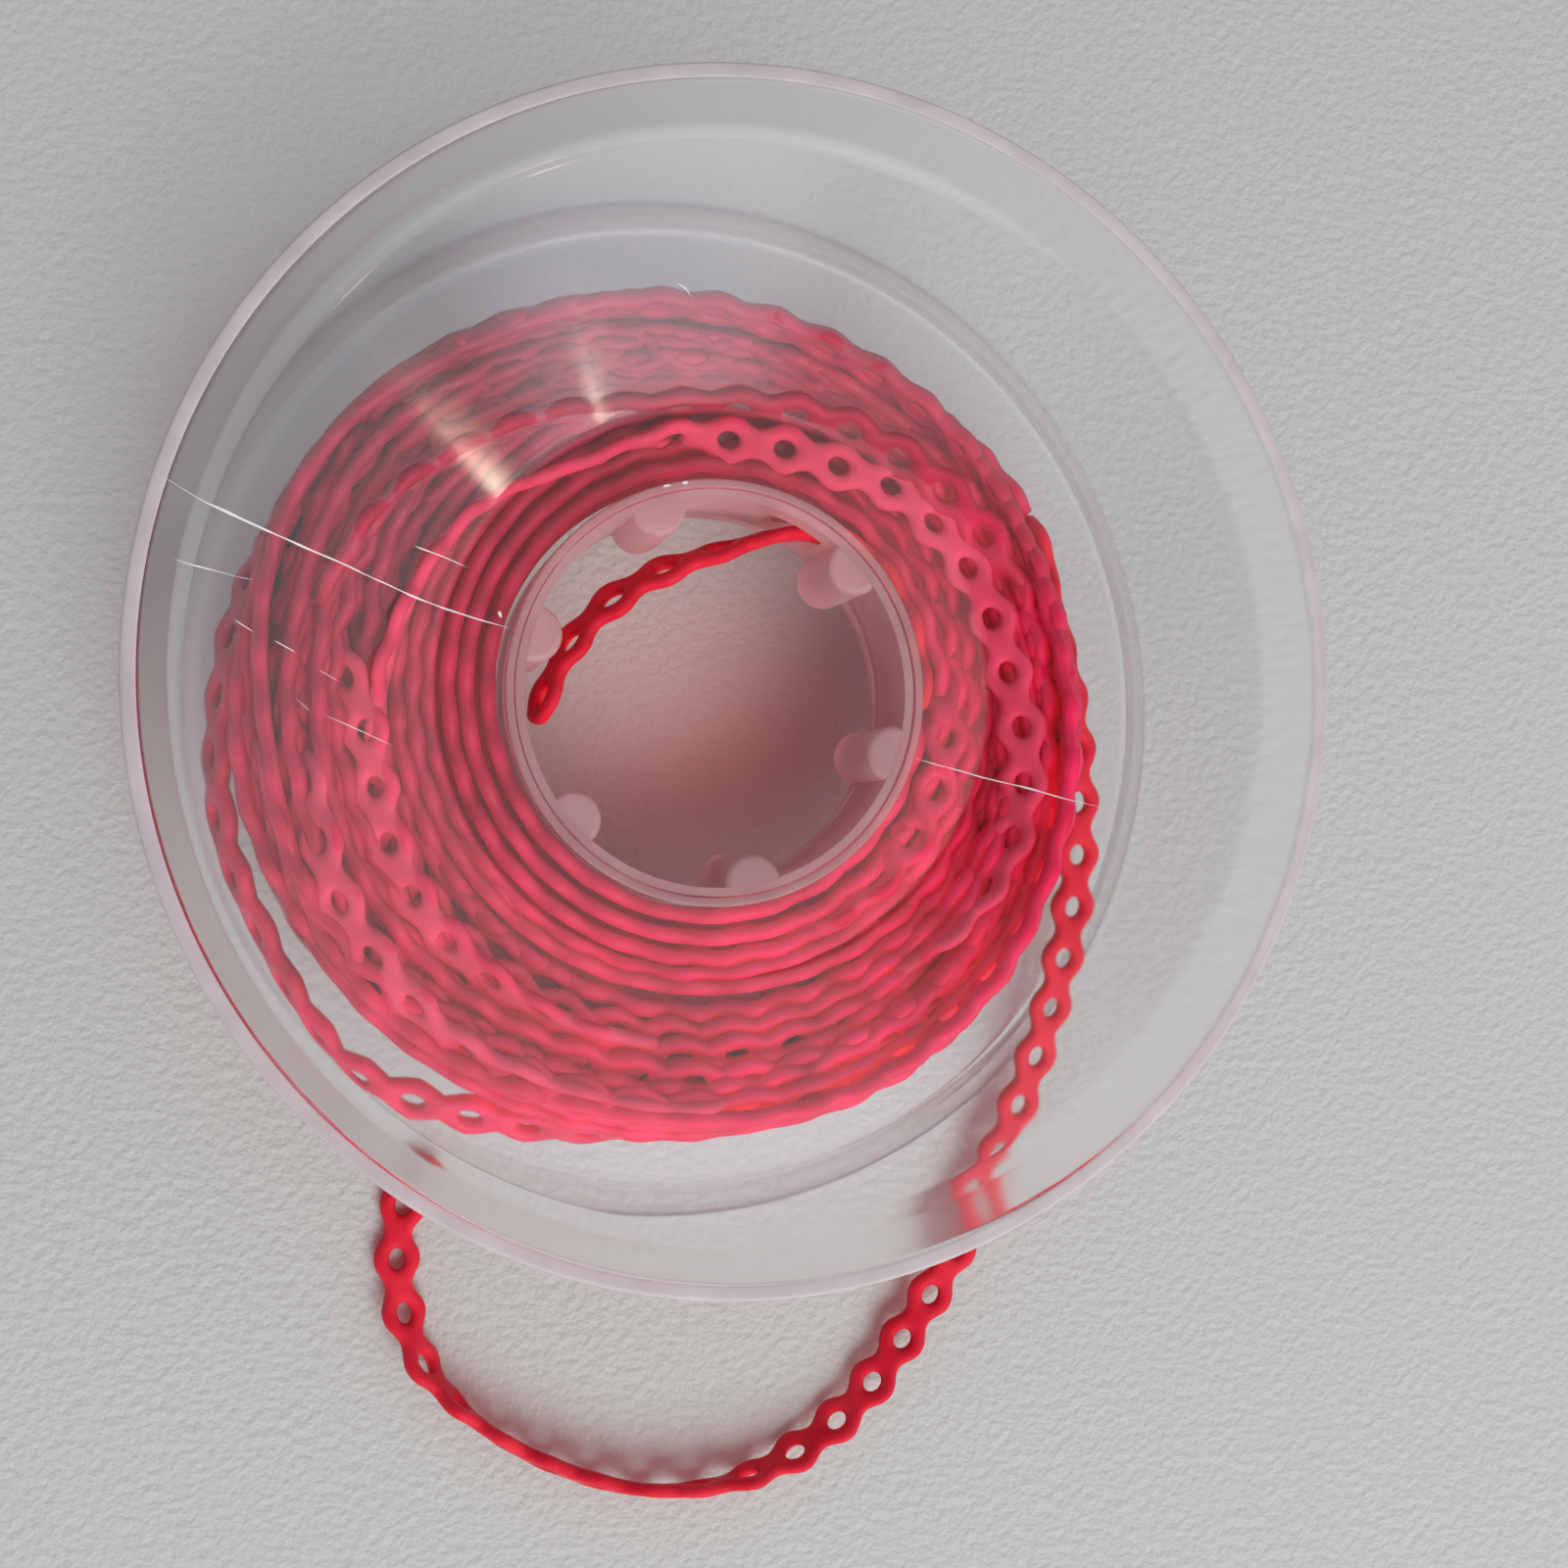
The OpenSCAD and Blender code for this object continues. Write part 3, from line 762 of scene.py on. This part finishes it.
def clouded_styrene(name, deep, pale, transmission):
    """Styrene that scatters part of the light, between two tones."""
    material = bpy.data.materials.new(name)
    material.use_nodes = True
    tree = material.node_tree
    shader = tree.nodes["Principled BSDF"]
    shader.inputs["IOR"].default_value = 1.49
    shader.inputs["Transmission Weight"].default_value = transmission
    cloud = tree.nodes.new("ShaderNodeGroup")
    cloud.node_tree = styrene_cloud
    cloud.inputs["Deep Tone"].default_value = (*deep, 1)
    cloud.inputs["Pale Tone"].default_value = (*pale, 1)
    tree.links.new(cloud.outputs["Color"], shader.inputs["Base Color"])
    tree.links.new(cloud.outputs["Roughness"], shader.inputs["Roughness"])
    return material


milky_plastic = clouded_styrene("milky_styrene", (0.62, 0.55, 0.575), (0.71, 0.64, 0.66), 0.2)

# The hub ring, the hub walls and the posts are thinner, and what lies behind shows through.
# Their pink tone is painted red light from the chain around them.

cloudy_plastic = clouded_styrene("cloudy_styrene", (0.82, 0.50, 0.52), (0.90, 0.61, 0.63), 0.68)
pass_light(cloudy_plastic, (0.92, 0.80, 0.81))

# Hairline cracks and scratches catch the light as fine pale lines.

scratch_white = bpy.data.materials.new("scratched_styrene")
scratch_white.use_nodes = True
scratch_shader = scratch_white.node_tree.nodes["Principled BSDF"]
scratch_shader.inputs["Base Color"].default_value = (0.90, 0.82, 0.83, 1)
scratch_shader.inputs["Roughness"].default_value = 0.5

HALF_FINISHES = [clear_plastic, milky_plastic, cloudy_plastic, scratch_white]
RIM_FINISH, HUB_FINISH, SCRATCH_FINISH = 1, 2, 3
RIM_MILKY_FROM = 9.6  # over the middle plane
HAIRLINE_LIFT = 0.03  # over the skin

# Radii, and heights over the middle plane, of the outer and the inner face
RIM_R, RIM_HALF, RIM_FOOT = 30.0, 10.25, 9.71
LAND_IN = 29.15
SHOULDER_R, SHOULDER_HALF = 27.4, 8.05
INNER_SHOULDER = (28.03, 7.24)
OUTER_FLAT_R, FLAT_HALF = 15.0, 2.65
HUB_HALF = 3.05
COLLAR_IN, COLLAR_OUT, COLLAR_FOOT = 10.75, 11.2, -1.65


def spin_half(r_in, r_out, foot, side):
    """A flange and its hub wall, turned from one profile; side is 1 for the upper one."""
    # Radius, height and rounding of each corner
    corners = [
        (r_in, foot, 0), (r_in, HUB_HALF, 0.06), (COLLAR_OUT, HUB_HALF, 0.14),
        (COLLAR_OUT, FLAT_HALF, 0), (OUTER_FLAT_R, FLAT_HALF, 0.25),
        (SHOULDER_R, SHOULDER_HALF, 0.6), (LAND_IN, RIM_HALF, 0.22), (RIM_R, RIM_HALF, 0.22),
        (RIM_R, RIM_FOOT, 0.22), (*INNER_SHOULDER, 0.6), (FLAT_R, ROOM_HALF, 0.25),
        (r_out, ROOM_HALF, 0), (r_out, foot, 0),
    ]
    bm = bmesh.new()
    outline = [bm.verts.new((r * MM, 0, (MID_Z + side * h) * MM)) for r, h, _ in corners]
    skin = bm.faces.new(outline)
    for v, (_, _, radius) in zip(outline, corners):
        if radius:
            bmesh.ops.bevel(
                bm, geom=[v], offset=radius * MM, offset_type="OFFSET", affect="VERTICES",
                segments=5, profile=0.5, material=-1,
            )
    bmesh.ops.delete(bm, geom=bm.faces[:], context="FACES_ONLY")
    bmesh.ops.spin(
        bm, geom=bm.verts[:] + bm.edges[:], cent=(0, 0, 0), axis=(0, 0, 1),
        angle=2 * math.pi, steps=256, use_merge=True,
    )
    bmesh.ops.remove_doubles(bm, verts=bm.verts, dist=1e-6)
    bmesh.ops.recalc_face_normals(bm, faces=bm.faces)
    return bm


SLOT_SIZE = (5.2, 1.5, 3.15)
SLOT_PLACE = (5.0, 9.45, 10.175)
SLOT_TURN = math.radians(-5)


def cut_slot(bm, name):
    """Cuts the slot for the chain's inner end, which runs slantwise through both hub walls."""
    mesh = bpy.data.meshes.new(name)
    bm.to_mesh(mesh)
    bm.free()
    half = bpy.data.objects.new(name, mesh)
    bpy.context.collection.objects.link(half)
    cutter_bm = bmesh.new()
    bmesh.ops.create_cube(cutter_bm, size=1)
    bmesh.ops.scale(cutter_bm, verts=cutter_bm.verts, vec=Vector(SLOT_SIZE) * MM)
    bmesh.ops.translate(cutter_bm, verts=cutter_bm.verts, vec=Vector(SLOT_PLACE) * MM)
    bmesh.ops.rotate(cutter_bm, verts=cutter_bm.verts, matrix=Matrix.Rotation(SLOT_TURN, 3, "Z"))
    cutter_mesh = bpy.data.meshes.new("slot_cutter")
    cutter_bm.to_mesh(cutter_mesh)
    cutter_bm.free()
    cutter = bpy.data.objects.new("slot_cutter", cutter_mesh)
    bpy.context.collection.objects.link(cutter)
    cut = half.modifiers.new("slot", "BOOLEAN")
    cut.operation = "DIFFERENCE"
    cut.object = cutter
    open_bm = bmesh.new()
    open_bm.from_object(half, bpy.context.evaluated_depsgraph_get())
    bpy.data.objects.remove(half)
    bpy.data.objects.remove(cutter)
    return open_bm


def flange_top(x, y):
    """A point on the upper face of the upper half, just clear of its skin."""
    radius = math.hypot(x, y)
    if radius < COLLAR_OUT:
        height = HUB_HALF
    elif radius < SHOULDER_R:
        height = FLAT_HALF + share(radius, OUTER_FLAT_R, SHOULDER_R) * (SHOULDER_HALF - FLAT_HALF)
    else:
        height = SHOULDER_HALF + share(radius, SHOULDER_R, LAND_IN) * (RIM_HALF - SHOULDER_HALF)
    return Vector((x, y, MID_Z + height + HAIRLINE_LIFT)) * MM


def add_scratch(bm, width, seed, points):
    """A hairline on the upper face, a thin strip that wavers a little and tapers to its ends."""
    line = Route([(x, y, 0, 0) for x, y in points], 12)
    last = len(line.place) - 1
    strip = bmesh.new()
    grown = bmesh.ops.create_grid(strip, x_segments=last, y_segments=1, size=1)["verts"]
    for v in grown:
        part = (v.co.x + 1) / 2
        index = round(part * last)
        side, along = line.frames[index][0], line.at[index] / MM
        taper = min(1.0, 5 * part, 5 * (1 - part)) * (0.65 + 0.5 * wander(along, seed + 1, 1.1))
        off = 0.5 * width * v.co.y * max(0.15, taper) + 0.05 * wander(along, seed, 2.0)
        spot = line.place[index] / MM + side * off
        v.co = flange_top(spot.x, spot.y)
    bmesh.ops.recalc_face_normals(strip, faces=strip.faces)
    for face in strip.faces:
        face.material_index = SCRATCH_FINISH
    laid = bpy.data.meshes.new("scratch")
    strip.to_mesh(laid)
    strip.free()
    bm.from_mesh(laid)
    bpy.data.meshes.remove(laid)


def finish_half(bm, name, node):
    """Gives a half its finishes, and puts it in place of its CAD node."""
    for face in bm.faces:
        middle = face.calc_center_median() / MM
        radius, height = middle.xy.length, abs(middle.z - MID_Z)
        if face.material_index == SCRATCH_FINISH:
            continue
        if radius > LAND_IN + 0.1 and height > RIM_MILKY_FROM:
            face.material_index = RIM_FINISH
        elif radius < COLLAR_OUT + 0.02:
            face.material_index = HUB_FINISH
    mesh = bpy.data.meshes.new(name)
    bm.to_mesh(mesh)
    bm.free()
    for polygon in mesh.polygons:
        polygon.use_smooth = True
    mesh.set_sharp_from_angle(angle=math.radians(40))
    for finish in HALF_FINISHES:
        mesh.materials.append(finish)
    piece = bpy.data.objects.new(name, mesh)
    bpy.context.collection.objects.link(piece)
    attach(piece, "root")
    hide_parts(node)


upper_bm = cut_slot(spin_half(COLLAR_IN, COLLAR_OUT, COLLAR_FOOT, 1), "upper_flange")
# Width and course of each crack or scratch, the long crack from hub to rim first, and last three
# short wide pale marks at the hub ring's edge
HAIRLINES = [
    (0.13, [
        (-10.9, 3.2), (-12.6, 3.7), (-14.5, 4.2), (-17.4, 5.2), (-20.3, 6.3), (-23.0, 7.2),
        (-25.8, 8.2), (-28.3, 9.1),
    ]),
    (0.10, [(10.9, -3.4), (13.2, -4.0), (15.8, -4.7), (18.1, -5.4), (20.3, -6.1)]),
    (0.07, [(-27.6, 5.5), (-25.7, 5.15), (-23.9, 4.9)]),
    (0.07, [(-15.9, 7.2), (-14.5, 6.8), (-13.1, 6.3)]),
    (0.06, [(-2.7, 20.6), (-2.2, 20.4), (-1.8, 20.0)]),
    (0.05, [(-20.5, -1.5), (-18.9, -2.1), (-17.0, -2.9)]),
    (0.05, [(-24.8, 2.9), (-23.9, 2.4)]),
    (0.06, [(-22.9, 2.0), (-21.9, 1.5)]),
    (0.05, [(-20.7, 0.7), (-19.8, 0.2)]),
    (0.05, [(-21.9, -0.7), (-21.2, -1.3)]),
    (0.30, [(-11.45, 4.1), (-11.3, 3.8)]),
    (0.26, [(-2.9, 10.7), (-2.5, 10.8)]),
    (0.20, [(-1.9, 10.9), (-1.6, 10.95)]),
]
for seed, (width, course) in enumerate(HAIRLINES, 1):
    add_scratch(upper_bm, width, seed, course)
finish_half(upper_bm, "upper_flange", "upper_half")

# ---- Lower half ------------------------------------------------------------
# The same disc the other way up, moulded in one with an inner sleeve that nests in the upper
# half's collar. Six half-round posts stand in its bore and grip the peg it turns on.

SLEEVE_IN, SLEEVE_OUT, SLEEVE_FOOT = 10.2, 10.65, -2.95
POST_R, POST_TALL = 1.5, 6.0
POST_PLACE = (10.1, 0, 7.2)
POST_REACH = 10.19  # just inside the bore's wall

lower_bm = cut_slot(spin_half(SLEEVE_IN, SLEEVE_OUT, SLEEVE_FOOT, -1), "lower_flange")
for direction in (42, 108, 163, 221, 281, 342):
    post = bmesh.new()
    bmesh.ops.create_circle(post, cap_ends=True, segments=40, radius=POST_R * MM)
    raised = bmesh.ops.extrude_face_region(post, geom=post.faces[:])["geom"]
    top = [v for v in raised if isinstance(v, bmesh.types.BMVert)]
    bmesh.ops.translate(post, verts=top, vec=(0, 0, POST_TALL * MM))
    bmesh.ops.bevel(
        post, geom=[e for e in post.edges if all(v in top for v in e.verts)], offset=0.35 * MM,
        affect="EDGES", segments=4, profile=0.5, material=-1,
    )
    bmesh.ops.translate(post, verts=post.verts, vec=Vector(POST_PLACE) * MM)
    for v in post.verts:
        reach = v.co.xy.length
        if reach > POST_REACH * MM:
            v.co.xy *= POST_REACH * MM / reach
    turned = Matrix.Rotation(math.radians(direction), 3, "Z")
    bmesh.ops.rotate(post, verts=post.verts, matrix=turned)
    bmesh.ops.recalc_face_normals(post, faces=post.faces)
    for face in post.faces:
        face.material_index = HUB_FINISH
    laid = bpy.data.meshes.new("post")
    post.to_mesh(laid)
    post.free()
    lower_bm.from_mesh(laid)
    bpy.data.meshes.remove(laid)
finish_half(lower_bm, "lower_flange", "lower_half")

# ---- Surface and light -----------------------------------------------------
# The spool lies on a pale sheet with a fine pebbled grain. A broad soft light falls from above
# and the lower right, and two small warm lamps glint in the upper flange.

floor_mat = bpy.data.materials.new("pale_sheet")
floor_mat.use_nodes = True
floor_tree = floor_mat.node_tree
floor_shader = floor_tree.nodes["Principled BSDF"]
floor_shader.inputs["Base Color"].default_value = (0.56, 0.57, 0.555, 1)
floor_shader.inputs["Roughness"].default_value = 0.62
floor_place = floor_tree.nodes.new("ShaderNodeTexCoord")
floor_grain = floor_tree.nodes.new("ShaderNodeTexNoise")
floor_grain.inputs["Scale"].default_value = 1800
floor_grain.inputs["Detail"].default_value = 3
floor_tree.links.new(floor_place.outputs["Object"], floor_grain.inputs["Vector"])
floor_bump = floor_tree.nodes.new("ShaderNodeBump")
floor_bump.inputs["Strength"].default_value = 0.36
floor_bump.inputs["Distance"].default_value = 0.5 * MM
floor_tree.links.new(floor_grain.outputs["Fac"], floor_bump.inputs["Height"])
floor_tree.links.new(floor_bump.outputs["Normal"], floor_shader.inputs["Normal"])

bm = bmesh.new()
bmesh.ops.create_grid(bm, x_segments=1, y_segments=1, size=1.5)
bmesh.ops.translate(bm, verts=bm.verts, vec=(0, 0, -0.02 * MM))
floor_mesh = bpy.data.meshes.new("pale_sheet")
bm.to_mesh(floor_mesh)
bm.free()
floor_mesh.materials.append(floor_mat)
floor = bpy.data.objects.new("pale_sheet", floor_mesh)
bpy.context.collection.objects.link(floor)


def soft_lamp(name, direction, distance, size, power, colour):
    """A rectangular lamp facing the spool from that direction."""
    data = bpy.data.lights.new(name, "AREA")
    data.shape = "RECTANGLE"
    data.size, data.size_y = size
    data.energy = power
    data.color = colour
    lamp = bpy.data.objects.new(name, data)
    way = Vector(direction).normalized()
    lamp.location = way * distance
    lamp.rotation_mode = "QUATERNION"
    lamp.rotation_quaternion = way.to_track_quat("Z", "Y")
    bpy.context.collection.objects.link(lamp)
    return lamp


window = soft_lamp(
    "window", (0.23, -0.68, 0.69), distance=0.8, size=(0.6, 0.6), power=5.6,
    colour=(1.0, 0.985, 0.96),
)
window.visible_glossy = False
window.visible_transmission = False
soft_lamp(
    "lamp_low", (0.606, -0.273, 0.747), distance=0.6, size=(0.036, 0.012), power=0.026,
    colour=(1.0, 0.82, 0.62),
)
soft_lamp(
    "lamp_high", (0.430, -0.418, 0.800), distance=0.6, size=(0.032, 0.015), power=0.022,
    colour=(1.0, 0.84, 0.66),
)

# The winding passes red light on into the bore, which this small disc stands for.
bore_data = bpy.data.lights.new("bore_glow", "AREA")
bore_data.shape = "DISK"
bore_data.size = 17 * MM
bore_data.energy = 0.0004
bore_data.color = (1.0, 0.14, 0.10)
bore_glow = bpy.data.objects.new("bore_glow", bore_data)
bore_glow.location = (0, 0, 9 * MM)
bore_glow.visible_camera = bore_glow.visible_glossy = bore_glow.visible_transmission = False
bpy.context.collection.objects.link(bore_glow)

# The room is dim overhead and paler to the sides. What is polished or clear also shows a
# broad pale window in it, brightest along one band.

world = bpy.data.worlds.new("room")
bpy.context.scene.world = world
world.use_nodes = True
room_tree = world.node_tree
room_light = room_tree.nodes["Background"]
room_light.inputs["Strength"].default_value = 1.1
room_way = room_tree.nodes.new("ShaderNodeTexCoord")
room_facing = room_tree.nodes.new("ShaderNodeVectorMath")
room_facing.operation = "DOT_PRODUCT"
room_facing.inputs[1].default_value = (-0.30, 0.0, 0.954)
room_tree.links.new(room_way.outputs["Generated"], room_facing.inputs[0])
room_shade = room_tree.nodes.new("ShaderNodeValToRGB")
room_shade.color_ramp.elements[0].position = 0.74
room_shade.color_ramp.elements[0].color = (0.80, 0.82, 0.87, 1)
room_shade.color_ramp.elements[1].position = 0.93
room_shade.color_ramp.elements[1].color = (0.09, 0.09, 0.10, 1)
room_tree.links.new(room_facing.outputs["Value"], room_shade.inputs["Fac"])
room_tree.links.new(room_shade.outputs["Color"], room_light.inputs["Color"])
room_path = room_tree.nodes.new("ShaderNodeLightPath")
room_sky = room_tree.nodes.new("ShaderNodeVectorMath")
room_sky.operation = "DOT_PRODUCT"
room_sky.inputs[1].default_value = (0.25, -0.49, 0.835)
room_tree.links.new(room_way.outputs["Generated"], room_sky.inputs[0])
room_window = room_tree.nodes.new("ShaderNodeValToRGB")
room_window.color_ramp.elements[0].position = 0.74
room_window.color_ramp.elements[0].color = (0, 0, 0, 1)
room_window.color_ramp.elements[1].position = 0.97
room_window.color_ramp.elements[1].color = (1, 1, 1, 1)
room_tree.links.new(room_sky.outputs["Value"], room_window.inputs["Fac"])
room_pane = room_tree.nodes.new("ShaderNodeBackground")
room_pane.inputs["Color"].default_value = (0.90, 0.92, 1.0, 1)
room_edge = room_tree.nodes.new("ShaderNodeVectorMath")
room_edge.operation = "DOT_PRODUCT"
room_edge.inputs[1].default_value = (0.3, -1.0, 0.0)
room_tree.links.new(room_way.outputs["Generated"], room_edge.inputs[0])
room_band = room_tree.nodes.new("ShaderNodeMapRange")
room_band.inputs["From Min"].default_value = 0.50
room_band.inputs["From Max"].default_value = 0.56
room_band.inputs["To Min"].default_value = 1.2
room_band.inputs["To Max"].default_value = 2.8
room_tree.links.new(room_edge.outputs["Value"], room_band.inputs["Value"])
room_tree.links.new(room_band.outputs["Result"], room_pane.inputs["Strength"])
room_seen = room_tree.nodes.new("ShaderNodeMixShader")
room_tree.links.new(room_window.outputs["Color"], room_seen.inputs["Fac"])
room_tree.links.new(room_light.outputs["Background"], room_seen.inputs[1])
room_tree.links.new(room_pane.outputs["Background"], room_seen.inputs[2])
room_either = room_tree.nodes.new("ShaderNodeMath")
room_either.operation = "MAXIMUM"
room_tree.links.new(room_path.outputs["Is Glossy Ray"], room_either.inputs[0])
room_tree.links.new(room_path.outputs["Is Transmission Ray"], room_either.inputs[1])
room_dim = room_tree.nodes.new("ShaderNodeBackground")
room_dim.inputs["Strength"].default_value = 0.56
room_tree.links.new(room_shade.outputs["Color"], room_dim.inputs["Color"])
room_pass = room_tree.nodes.new("ShaderNodeMixShader")
room_tree.links.new(room_either.outputs["Value"], room_pass.inputs["Fac"])
room_tree.links.new(room_dim.outputs["Background"], room_pass.inputs[1])
room_tree.links.new(room_seen.outputs["Shader"], room_pass.inputs[2])
room_tree.links.new(room_pass.outputs["Shader"], room_tree.nodes["World Output"].inputs["Surface"])
bpy.context.scene.view_settings.view_transform = "Standard"
